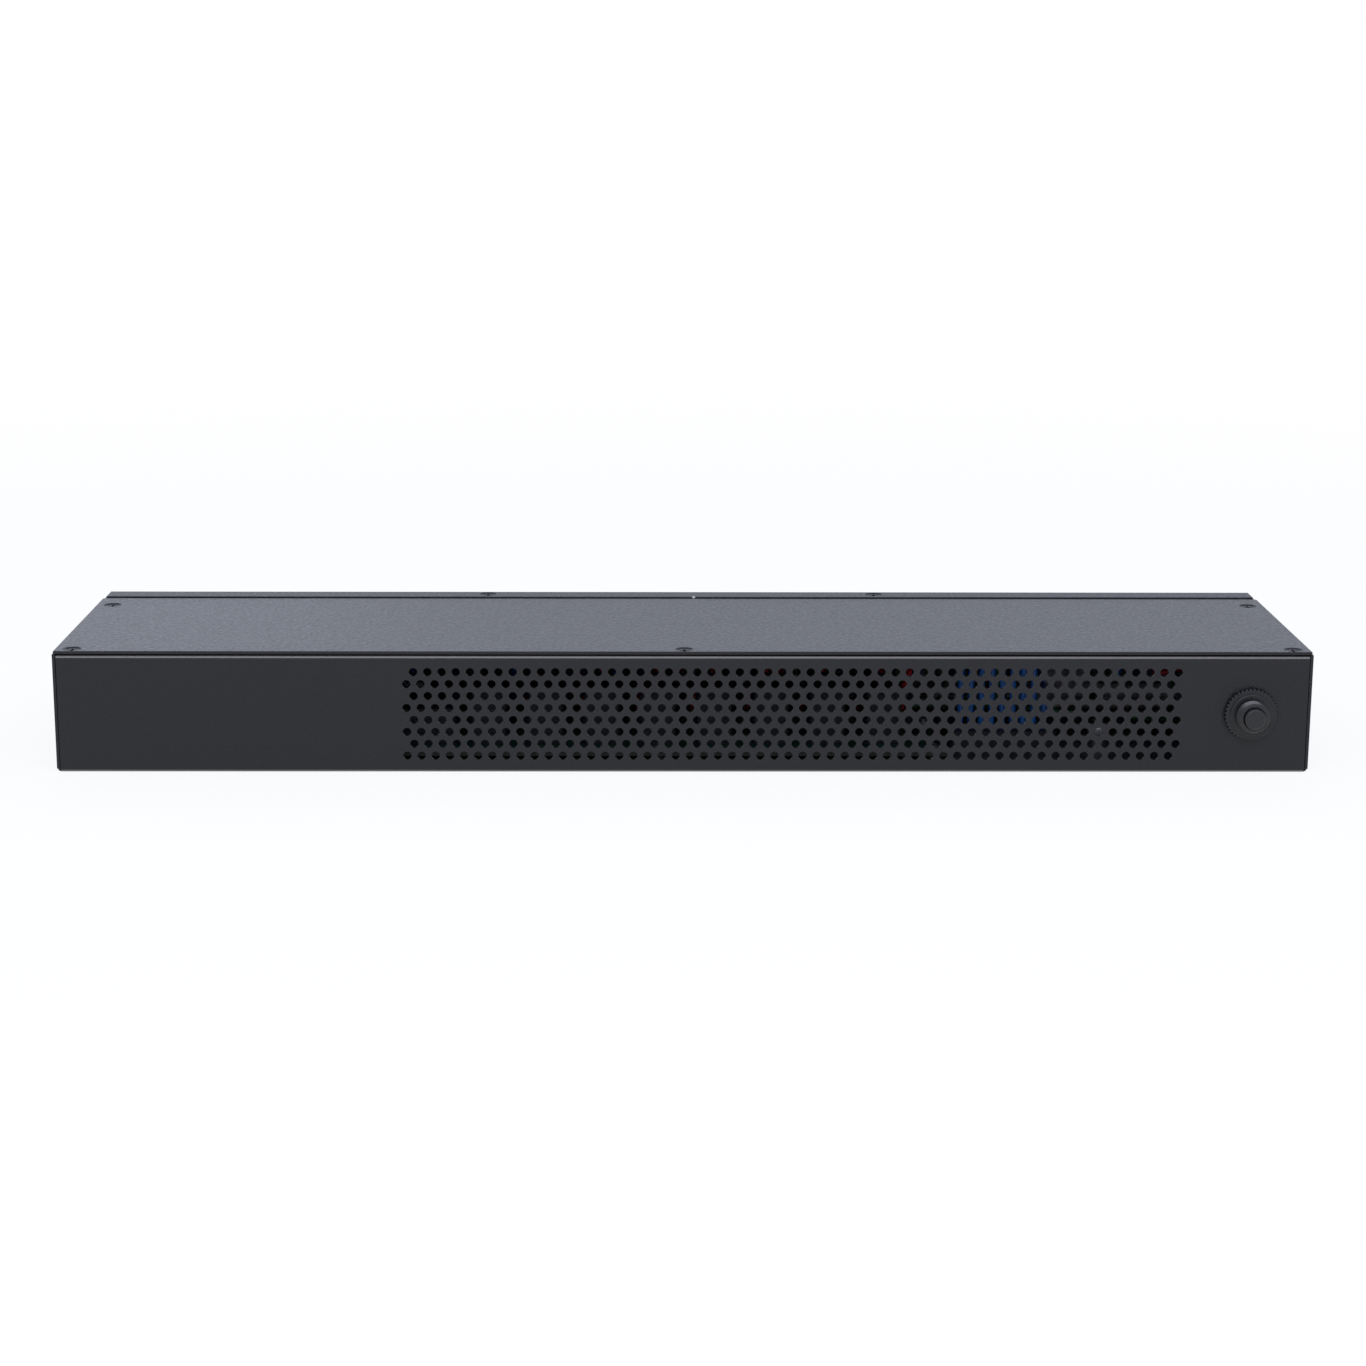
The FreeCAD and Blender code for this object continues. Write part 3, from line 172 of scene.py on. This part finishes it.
def linear(code):
    """A colour's sRGB hex code as linear red, green and blue, with full alpha."""
    parts = [int(code[i:i + 2], 16) / 255 for i in (1, 3, 5)]
    return [p / 12.92 if p <= 0.04045 else ((p + 0.055) / 1.055) ** 2.4 for p in parts] + [1.0]


def add(tree, kind, inputs=None, **settings):
    """Add a node to a tree: an input given as a socket is linked, any other is set."""
    made = tree.nodes.new(kind)
    for name, value in settings.items():
        setattr(made, name, value)
    for name, value in (inputs or {}).items():
        if isinstance(value, bpy.types.NodeSocket):
            tree.links.new(value, made.inputs[name])
        else:
            made.inputs[name].default_value = value
    return made


def per(size):
    """A texture's scale for grains of a size in millimetres."""
    return 1 / (size * mm)


def surface(name, roughness, ior=None, metallic=0.0):
    """Start a material: its shader at steady values, and the piece's own coordinates."""
    made = bpy.data.materials.new(name)
    made.use_nodes = True
    shader = made.node_tree.nodes["Principled BSDF"]
    shader.inputs["Roughness"].default_value = roughness
    shader.inputs["Metallic"].default_value = metallic
    if ior:
        shader.inputs["IOR"].default_value = ior
    place = add(made.node_tree, "ShaderNodeTexCoord").outputs["Object"]
    return made, made.node_tree, shader, place


def two_tone(tree, place, dark, light, size):
    """A colour that drifts between two tones in patches of a size in millimetres."""
    patches = add(tree, "ShaderNodeTexNoise",
                  {"Vector": place, "Scale": per(size), "Detail": patch_detail})
    tones = {"Factor": patches.outputs["Fac"], mix_from: linear(dark), mix_to: linear(light)}
    return add(tree, "ShaderNodeMix", tones, data_type="RGBA").outputs[mixed]


def skin(tree, shader, place, size, depth):
    """Raise a fine grain on the surface, its size and depth in millimetres; gives its height."""
    grain = add(tree, "ShaderNodeTexNoise",
                {"Vector": place, "Scale": per(size), "Detail": grain_detail})
    height = grain.outputs["Fac"]
    raised = add(tree, "ShaderNodeBump", {"Height": height, "Distance": depth * mm})
    tree.links.new(raised.outputs["Normal"], shader.inputs["Normal"])
    return height


def folds_with_painted_highlight(tree, coat, fold_highlight):
    """The coat's colour, and a lighter one painted on upward-sloping folds as a highlight."""
    # Painted highlight: the middle of an upward-sloping fold takes a lighter colour
    normal = add(tree, "ShaderNodeNewGeometry").outputs["Normal"]
    upward = add(tree, "ShaderNodeSeparateXYZ", {0: normal}).outputs["Z"]
    slope = add(tree, "ShaderNodeMath", {0: upward, 1: fold_middle}, operation="PINGPONG")
    highlight_mask = add(tree, "ShaderNodeMapRange",
                 {"Value": slope.outputs[0], "From Min": highlight_start, "From Max": highlight_full})
    tones = {"Factor": highlight_mask.outputs[0], mix_from: coat, mix_to: linear(fold_highlight)}
    return add(tree, "ShaderNodeMix", tones, data_type="RGBA").outputs[mixed]


def chipped_edge(tree, place, coat):
    """The coat's colour, and bare steel in one chip on the edge of the outlet panel's flange."""
    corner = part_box("outlet_panel")[1]
    chip_place = (chip_x, corner.y - flange_reach, corner.z)
    reach = add(tree, "ShaderNodeVectorMath", {0: place, 1: chip_place}, operation="DISTANCE")
    bare = add(tree, "ShaderNodeMapRange", {"Value": reach.outputs["Value"],
                                            "From Min": chip_radius, "From Max": chip_core})
    tones = {"Factor": bare.outputs[0], mix_from: coat, mix_to: linear(bare_steel)}
    return add(tree, "ShaderNodeMix", tones, data_type="RGBA").outputs[mixed]


def inner_faces(tree, place, coat, inner):
    """The coat's colour, and another on the faces that lie inside the case."""
    low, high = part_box("chassis_tray")
    centre = (low + high) / 2
    room = (high - low) / 2 - Vector((1, 1, 1)) * inner_side
    offset = add(tree, "ShaderNodeVectorMath", {0: place, 1: centre}, operation="SUBTRACT")
    spread = add(tree, "ShaderNodeVectorMath", {0: offset.outputs[0]}, operation="ABSOLUTE")
    within = add(tree, "ShaderNodeVectorMath", {0: room, 1: spread.outputs[0]},
                 operation="SUBTRACT")
    deep = add(tree, "ShaderNodeSeparateXYZ", {0: within.outputs[0]}).outputs
    least = add(tree, "ShaderNodeMath", {0: deep["X"], 1: deep["Y"]}, operation="MINIMUM")
    least = add(tree, "ShaderNodeMath", {0: least.outputs[0], 1: deep["Z"]}, operation="MINIMUM")
    inside = add(tree, "ShaderNodeMath", {0: least.outputs[0], 1: 0.0}, operation="GREATER_THAN")
    tones = {"Factor": inside.outputs[0], mix_from: coat, mix_to: linear(inner)}
    return add(tree, "ShaderNodeMix", tones, data_type="RGBA").outputs[mixed]


def black_powder_coat(name, smooth, rough, fold_highlight, inner):
    """Polyester powder fused on folded steel: a satin black with orange peel and uneven gloss.

    A highlight is painted on the folds where they slope upward, one chip on the flange's edge is
    bare steel, and the inner side of the sheet has its own tone.
    """
    paint, tree, shader, place = surface(name, roughness=rough, ior=1.4)
    coat = two_tone(tree, place, coat_dark, coat_light, size=1.1)
    # The peel is drawn a little coarser than the real one, so that it shows
    peel = skin(tree, shader, place, size=1.3, depth=0.25)
    gloss = add(tree, "ShaderNodeMapRange", {"Value": peel,
                                             "From Min": low_peel, "From Max": high_peel,
                                             "To Min": smooth, "To Max": rough})
    tree.links.new(gloss.outputs[0], shader.inputs["Roughness"])
    # A painted highlight on the folds
    coat = folds_with_painted_highlight(tree, coat, fold_highlight)
    coat = chipped_edge(tree, place, coat)
    coat = inner_faces(tree, place, coat, inner)
    tree.links.new(coat, shader.inputs["Base Color"])
    return paint


def blackened_steel():
    """Headed steel with a black oxide finish: dark metal with soft gleams."""
    steel, tree, shader, place = surface("black_oxide_screw", roughness=0.4, metallic=0.7)
    colour = two_tone(tree, place, "#1a1a1d", "#2a2a2e", size=0.9)
    tree.links.new(colour, shader.inputs["Base Color"])
    skin(tree, shader, place, size=0.5, depth=0.01)
    return steel


def moulded_plastic(name, dark, light, roughness=0.45, ior=1.53):
    """Plastic from a spark-eroded mould: an even colour with a fine matt grain."""
    plastic, tree, shader, place = surface(name, roughness, ior)
    colour = two_tone(tree, place, dark, light, size=2.4)
    tree.links.new(colour, shader.inputs["Base Color"])
    skin(tree, shader, place, size=0.6, depth=0.015)
    return plastic


def plated_metal(name, dark, light):
    """Stamped metal with a bright plating: a clear gleam, a little uneven from the press."""
    metal, tree, shader, place = surface(name, roughness=0.28, metallic=1.0)
    colour = two_tone(tree, place, dark, light, size=2.5)
    tree.links.new(colour, shader.inputs["Base Color"])
    skin(tree, shader, place, size=1.2, depth=0.01)
    return metal


def drawn_vinyl(name, dark, light):
    """Vinyl drawn on to copper wire: smooth, half glossy, with slight unevenness of colour."""
    vinyl, tree, shader, place = surface(name, roughness=0.32, ior=1.53)
    colour = two_tone(tree, place, dark, light, size=6.0)
    tree.links.new(colour, shader.inputs["Base Color"])
    skin(tree, shader, place, size=3.0, depth=0.03)
    return vinyl


def glass_epoxy_board():
    """Woven glass in epoxy under a dark green solder mask.

    Paler tracks run a tenth of an inch apart, and the sawn edges are a bare greyish green.
    """
    board, tree, shader, place = surface("glass_epoxy_board", roughness=0.35, ior=1.55)
    scale = math.tau / wave_radians * per(track_spacing)
    tracks = add(tree, "ShaderNodeTexWave",
                 {"Vector": place, "Scale": scale, "Distortion": 1.5}, bands_direction="Y")
    tones = {"Factor": tracks.outputs["Fac"],
             mix_from: linear("#143328"), mix_to: linear("#1b4636")}
    mask = add(tree, "ShaderNodeMix", tones, data_type="RGBA").outputs[mixed]
    normal = add(tree, "ShaderNodeNewGeometry").outputs["Normal"]
    upward = add(tree, "ShaderNodeSeparateXYZ", {0: normal}).outputs["Z"]
    flat = add(tree, "ShaderNodeMath", {0: upward}, operation="ABSOLUTE")
    tones = {"Factor": flat.outputs[0], mix_from: linear("#4a4c44"), mix_to: mask}
    edged = add(tree, "ShaderNodeMix", tones, data_type="RGBA").outputs[mixed]
    tree.links.new(edged, shader.inputs["Base Color"])
    skin(tree, shader, place, size=0.5, depth=0.02)
    return board


def seen_white(tree):
    """One for a ray from the camera, a mirror or clear glass, so that they show a white studio."""
    ray = add(tree, "ShaderNodeLightPath").outputs
    direct = add(tree, "ShaderNodeMath", {0: ray["Is Camera Ray"], 1: ray["Is Glossy Ray"]},
                 operation="MAXIMUM")
    seen = add(tree, "ShaderNodeMath", {0: direct.outputs[0], 1: ray["Is Transmission Ray"]},
               operation="MAXIMUM")
    return seen.outputs[0]


def white_room():
    """The world: white to the camera, cool white in reflections, and a soft light on everything."""
    room = bpy.data.worlds.new("white_room")
    scene.world = room
    room.use_nodes = True
    tree = room.node_tree
    tree.nodes.clear()
    direct = add(tree, "ShaderNodeLightPath").outputs["Is Camera Ray"]
    tones = {"Factor": direct, mix_from: linear(cool_white), mix_to: linear(plain_white)}
    tint = add(tree, "ShaderNodeMix", tones, data_type="RGBA").outputs[mixed]
    level = add(tree, "ShaderNodeMapRange", {"Value": seen_white(tree), "To Min": room_light})
    glow = add(tree, "ShaderNodeBackground", {"Color": tint, "Strength": level.outputs[0]})
    add(tree, "ShaderNodeOutputWorld", {"Surface": glow.outputs[0]})
    # An even glow is found well enough without being sampled as a lamp
    room.cycles.sampling_method = "NONE"


def pale_floor():
    """A wide white floor that takes the object's shadow and clears to plain white away from it."""
    bpy.ops.mesh.primitive_circle_add(vertices=floor_corners, radius=floor_radius, fill_type="NGON",
                                      location=(0, 0, cad_box[0].z - floor_gap))
    floor = bpy.context.active_object
    floor.name = "floor"
    matt = bpy.data.materials.new("pale_floor")
    matt.use_nodes = True
    tree = matt.node_tree
    tree.nodes.clear()
    place = add(tree, "ShaderNodeTexCoord").outputs["Object"]
    away = add(tree, "ShaderNodeVectorMath", {0: place}, operation="LENGTH")
    clear = add(tree, "ShaderNodeMapRange", {"Value": away.outputs["Value"],
                                             "From Min": shaded_floor, "From Max": white_floor,
                                             "To Min": 1 - shadow_share, "To Max": 1.0})
    share = add(tree, "ShaderNodeMath", {0: seen_white(tree), 1: clear.outputs[0]},
                operation="MULTIPLY")
    lit = add(tree, "ShaderNodeBsdfDiffuse", {"Color": linear(floor_white)})
    glow = add(tree, "ShaderNodeEmission", {"Color": linear(plain_white), "Strength": 1.0})
    both = add(tree, "ShaderNodeMixShader",
               {0: share.outputs[0], 1: lit.outputs[0], 2: glow.outputs[0]})
    add(tree, "ShaderNodeOutputMaterial", {"Surface": both.outputs[0]})
    # The floor's glow is for the camera and for reflections, so it isn't sampled as a lamp
    matt.cycles.emission_sampling = "NONE"
    floor.data.materials.append(matt)


def softbox(name, place, length, depth, power):
    """One soft cool light, turned to the object and left out of the camera's view."""
    lamp = bpy.data.lights.new(name, "AREA")
    lamp.shape = "RECTANGLE"
    lamp.size = length
    lamp.size_y = depth
    lamp.energy = power
    lamp.color = linear(cool_white)[:3]
    holder = bpy.data.objects.new(name, lamp)
    scene.collection.objects.link(holder)
    holder.location = place
    holder.rotation_mode = "QUATERNION"
    holder.rotation_quaternion = (-Vector(place)).to_track_quat("-Z", "Y")
    holder.visible_camera = False


def camera():
    """The photograph's own viewpoint and lens."""
    lens = bpy.data.cameras.new("camera")
    lens.sensor_width = sensor_width
    lens.lens = focal_pixels * sensor_width / photo_width
    lens.clip_start = near_clip
    holder = bpy.data.objects.new("camera", lens)
    scene.collection.objects.link(holder)
    turn = Matrix.Rotation(-camera_yaw, 4, "Z")
    turn = turn @ Matrix.Rotation(math.pi / 2 - camera_pitch, 4, "X")
    turn = turn @ Matrix.Rotation(camera_roll, 4, "Z")
    holder.matrix_world = Matrix.Translation(camera_place) @ turn
    scene.camera = holder


def only(piece):
    """Select one piece and nothing else."""
    bpy.ops.object.select_all(action="DESELECT")
    piece.select_set(True)
    bpy.context.view_layer.objects.active = piece


def apply_all(piece):
    """Make a piece's modifiers part of its mesh."""
    only(piece)
    for modifier in list(piece.modifiers):
        bpy.ops.object.modifier_apply(modifier=modifier.name)


def settle(piece):
    """Put a piece's place and turn into its mesh, so that its object sits at the origin."""
    only(piece)
    bpy.ops.object.transform_apply(location=True, rotation=True, scale=True)


def bevelled(piece, edge):
    """Give a piece a bevel on its sharp edges, as a modifier."""
    bevel = piece.modifiers.new("eased_edges", "BEVEL")
    bevel.width = edge
    bevel.segments = edge_segments
    bevel.limit_method = "ANGLE"
    bevel.angle_limit = fold_angle
    return bevel


def eased_copy(node, name, edge):
    """A copy of a solid with its triangles merged, its sharp edges eased and its flats flat."""
    piece = bpy.data.objects.new(name, frame["nodes"][node].data.copy())
    scene.collection.objects.link(piece)
    only(piece)
    bpy.ops.mesh.customdata_custom_splitnormals_clear()
    bpy.ops.object.mode_set(mode="EDIT")
    bpy.ops.mesh.select_all(action="SELECT")
    bpy.ops.mesh.remove_doubles(threshold=merge_gap)
    bpy.ops.mesh.dissolve_limited(angle_limit=flat_angle)
    bpy.ops.object.mode_set(mode="OBJECT")
    bpy.ops.object.shade_smooth_by_angle(angle=fold_angle)
    bevel = bevelled(piece, edge)
    bevel.use_clamp_overlap = False
    bevel.harden_normals = True
    apply_all(piece)
    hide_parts(node)
    return piece


def bushing_thread():
    """The ridge wound round the breaker's bushing, from the face nut to the bushing's chamfer."""
    nut_low, nut_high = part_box("breaker_face_nut")
    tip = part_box("breaker_body")[0].y
    turns = int((nut_low.y - tip) / thread_pitch)
    # A triangle with one corner outwards is wound along the bushing and closed at both ends
    bpy.ops.object.select_all(action="DESELECT")
    bpy.ops.mesh.primitive_circle_add(vertices=ridge_sides, radius=thread_ridge,
                                      rotation=(0, 0, -math.pi / 2),
                                      location=(thread_crest - thread_ridge, 0, 0))
    thread = bpy.context.active_object
    thread.name = "bushing_thread"
    settle(thread)
    winding = thread.modifiers.new("winding", "SCREW")
    winding.axis = "Y"
    winding.screw_offset = -thread_pitch
    winding.iterations = turns
    winding.steps = winding.render_steps = thread_steps
    apply_all(thread)
    bpy.ops.object.mode_set(mode="EDIT")
    bpy.ops.mesh.select_all(action="SELECT")
    bpy.ops.mesh.remove_doubles(threshold=merge_gap)
    bpy.ops.mesh.fill_holes(sides=ridge_sides)
    bpy.ops.mesh.select_all(action="SELECT")
    bpy.ops.mesh.normals_make_consistent(inside=False)
    bpy.ops.object.mode_set(mode="OBJECT")
    thread.location = ((nut_low.x + nut_high.x) / 2, nut_low.y, (nut_low.z + nut_high.z) / 2)
    settle(thread)
    bpy.ops.object.shade_smooth_by_angle(angle=fold_angle)
    return thread


def floor_stud():
    """A stud clinched in the tray's floor, its washer and its nut.

    It is the bright spot behind the perforated wall.
    """
    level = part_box("earth_stud")[0].z
    bpy.ops.object.select_all(action="DESELECT")
    bpy.ops.mesh.primitive_cylinder_add(vertices=round_sides, radius=washer_radius,
                                        depth=washer_sheet,
                                        location=(*stud_place, level + washer_sheet / 2))
    stud = bpy.context.active_object
    stud.name = "floor_stud"
    settle(stud)
    level += washer_sheet
    bpy.ops.object.mode_set(mode="EDIT")
    bpy.ops.mesh.primitive_cylinder_add(vertices=nut_sides, radius=nut_corner, depth=nut_height,
                                        rotation=(0, 0, nut_turn),
                                        location=(*stud_place, level + nut_height / 2))
    level += nut_height
    bpy.ops.mesh.primitive_cylinder_add(vertices=round_sides, radius=stud_radius, depth=stud_end,
                                        location=(*stud_place, level + stud_end / 2))
    bpy.ops.object.mode_set(mode="OBJECT")
    bevelled(stud, stud_edge)
    apply_all(stud)
    bpy.ops.object.shade_smooth_by_angle(angle=fold_angle)
    return stud


def dress(piece, material, body=None):
    """Give a piece its finish, and a new piece its slot and the body that it rides on."""
    piece.data.materials.clear()
    piece.data.materials.append(material)
    if body:
        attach(piece, body)


white_room()
pale_floor()
for name, box in softboxes.items():
    softbox(name, **box)
camera()

# What each material slot of the record is finished with
finishes = {
    # The tray's folds take a warm grey as painted highlight
    "powder_coat": black_powder_coat("tray_powder_coat", smooth=0.34, rough=0.46,
                                     fold_highlight="#706b66", inner="#3c3d40"),
    "black_screw": blackened_steel(),
    "breaker_plastic": moulded_plastic("breaker_phenolic", "#0f0f12", "#17171a",
                                       roughness=0.33, ior=1.46),
    "button_plastic": moulded_plastic("button_nylon", "#131316", "#1b1b1e",
                                      roughness=0.4, ior=1.45),
    "nut_black": moulded_plastic("nut_nylon", "#0f0f12", "#17171a", roughness=0.34, ior=1.42),
    "plated_steel": plated_metal("tin_plated_steel", "#a9abad", "#c4c5c6"),
    "brass": plated_metal("pressed_brass", "#b08a48", "#c9a562"),
    "socket_plastic": moulded_plastic("socket_nylon", "#1d1d21", "#26262a"),
    "board": glass_epoxy_board(),
    "terminal_plastic": moulded_plastic("terminal_polyamide", "#26262a", "#303034"),
    "header_plastic": moulded_plastic("header_polyester", "#d8d4c6", "#e6e2d6"),
    "relay_plastic": moulded_plastic("relay_polyester", "#1f2023", "#28292c",
                                     roughness=0.6, ior=1.35),
    "block_plastic": moulded_plastic("block_polyamide", "#2a2b2e", "#333539",
                                     roughness=0.6, ior=1.35),
    "sleeve_plastic": moulded_plastic("sleeve_vinyl", "#2c2d30", "#37383b"),
    "wire_red": drawn_vinyl("red_wire_vinyl", "#cc1a24", "#e42a34"),
    "wire_blue": drawn_vinyl("blue_wire_vinyl", "#0f63b8", "#1f78cf"),
    "wire_green": drawn_vinyl("green_wire_vinyl", "#14602f", "#1f7a40"),
    "cable_grey": drawn_vinyl("grey_cable_vinyl", "#75787b", "#8a8d90"),
}
# The cover and the outlet panel are coated on their own, with a fainter painted highlight on their
# folds
own_coats = {
    "top_cover": black_powder_coat("cover_powder_coat", smooth=0.34, rough=0.46,
                                   fold_highlight=coat_light, inner="#3c3d40"),
    "outlet_panel": black_powder_coat("panel_powder_coat", smooth=0.43, rough=0.55,
                                      fold_highlight=coat_light, inner="#c4c6c8"),
}

# The outer pieces with eased edges: sheets, screws with the breaker, and mouldings
sheets = ["top_cover", "outlet_panel"]
turned = ["cover_screws", "flange_screws", "foot_screws", "breaker_body", "breaker_face_nut",
          "reset_button"]
mouldings = ["power_inlet", "network_jack", "outlet_1", "outlet_2", "outlet_3", "outlet_4",
             "outlet_5", "outlet_6", "outlet_7", "outlet_8"]
edge_of = {
    **dict.fromkeys(sheets, sheet_edge),
    **dict.fromkeys(turned, turned_edge),
    **dict.fromkeys(mouldings, mould_edge),
}
slot_of = {part["node"]: part["material_slot"] for part in frame["record"]["subparts"]}
body_of = {node: solid["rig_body"] for node, solid in frame["nodes"].items()}
for node, slot in slot_of.items():
    if node in edge_of:
        piece = eased_copy(node, node + "_finished", edge_of[node])
        dress(piece, own_coats.get(node, finishes[slot]), body_of[node])
    else:
        dress(frame["nodes"][node], finishes[slot])

bright_zinc = plated_metal("bright_zinc_plating", "#d4d6d8", "#e8e9ea")
dress(bushing_thread(), finishes["breaker_plastic"], "case")
dress(floor_stud(), bright_zinc, "case")
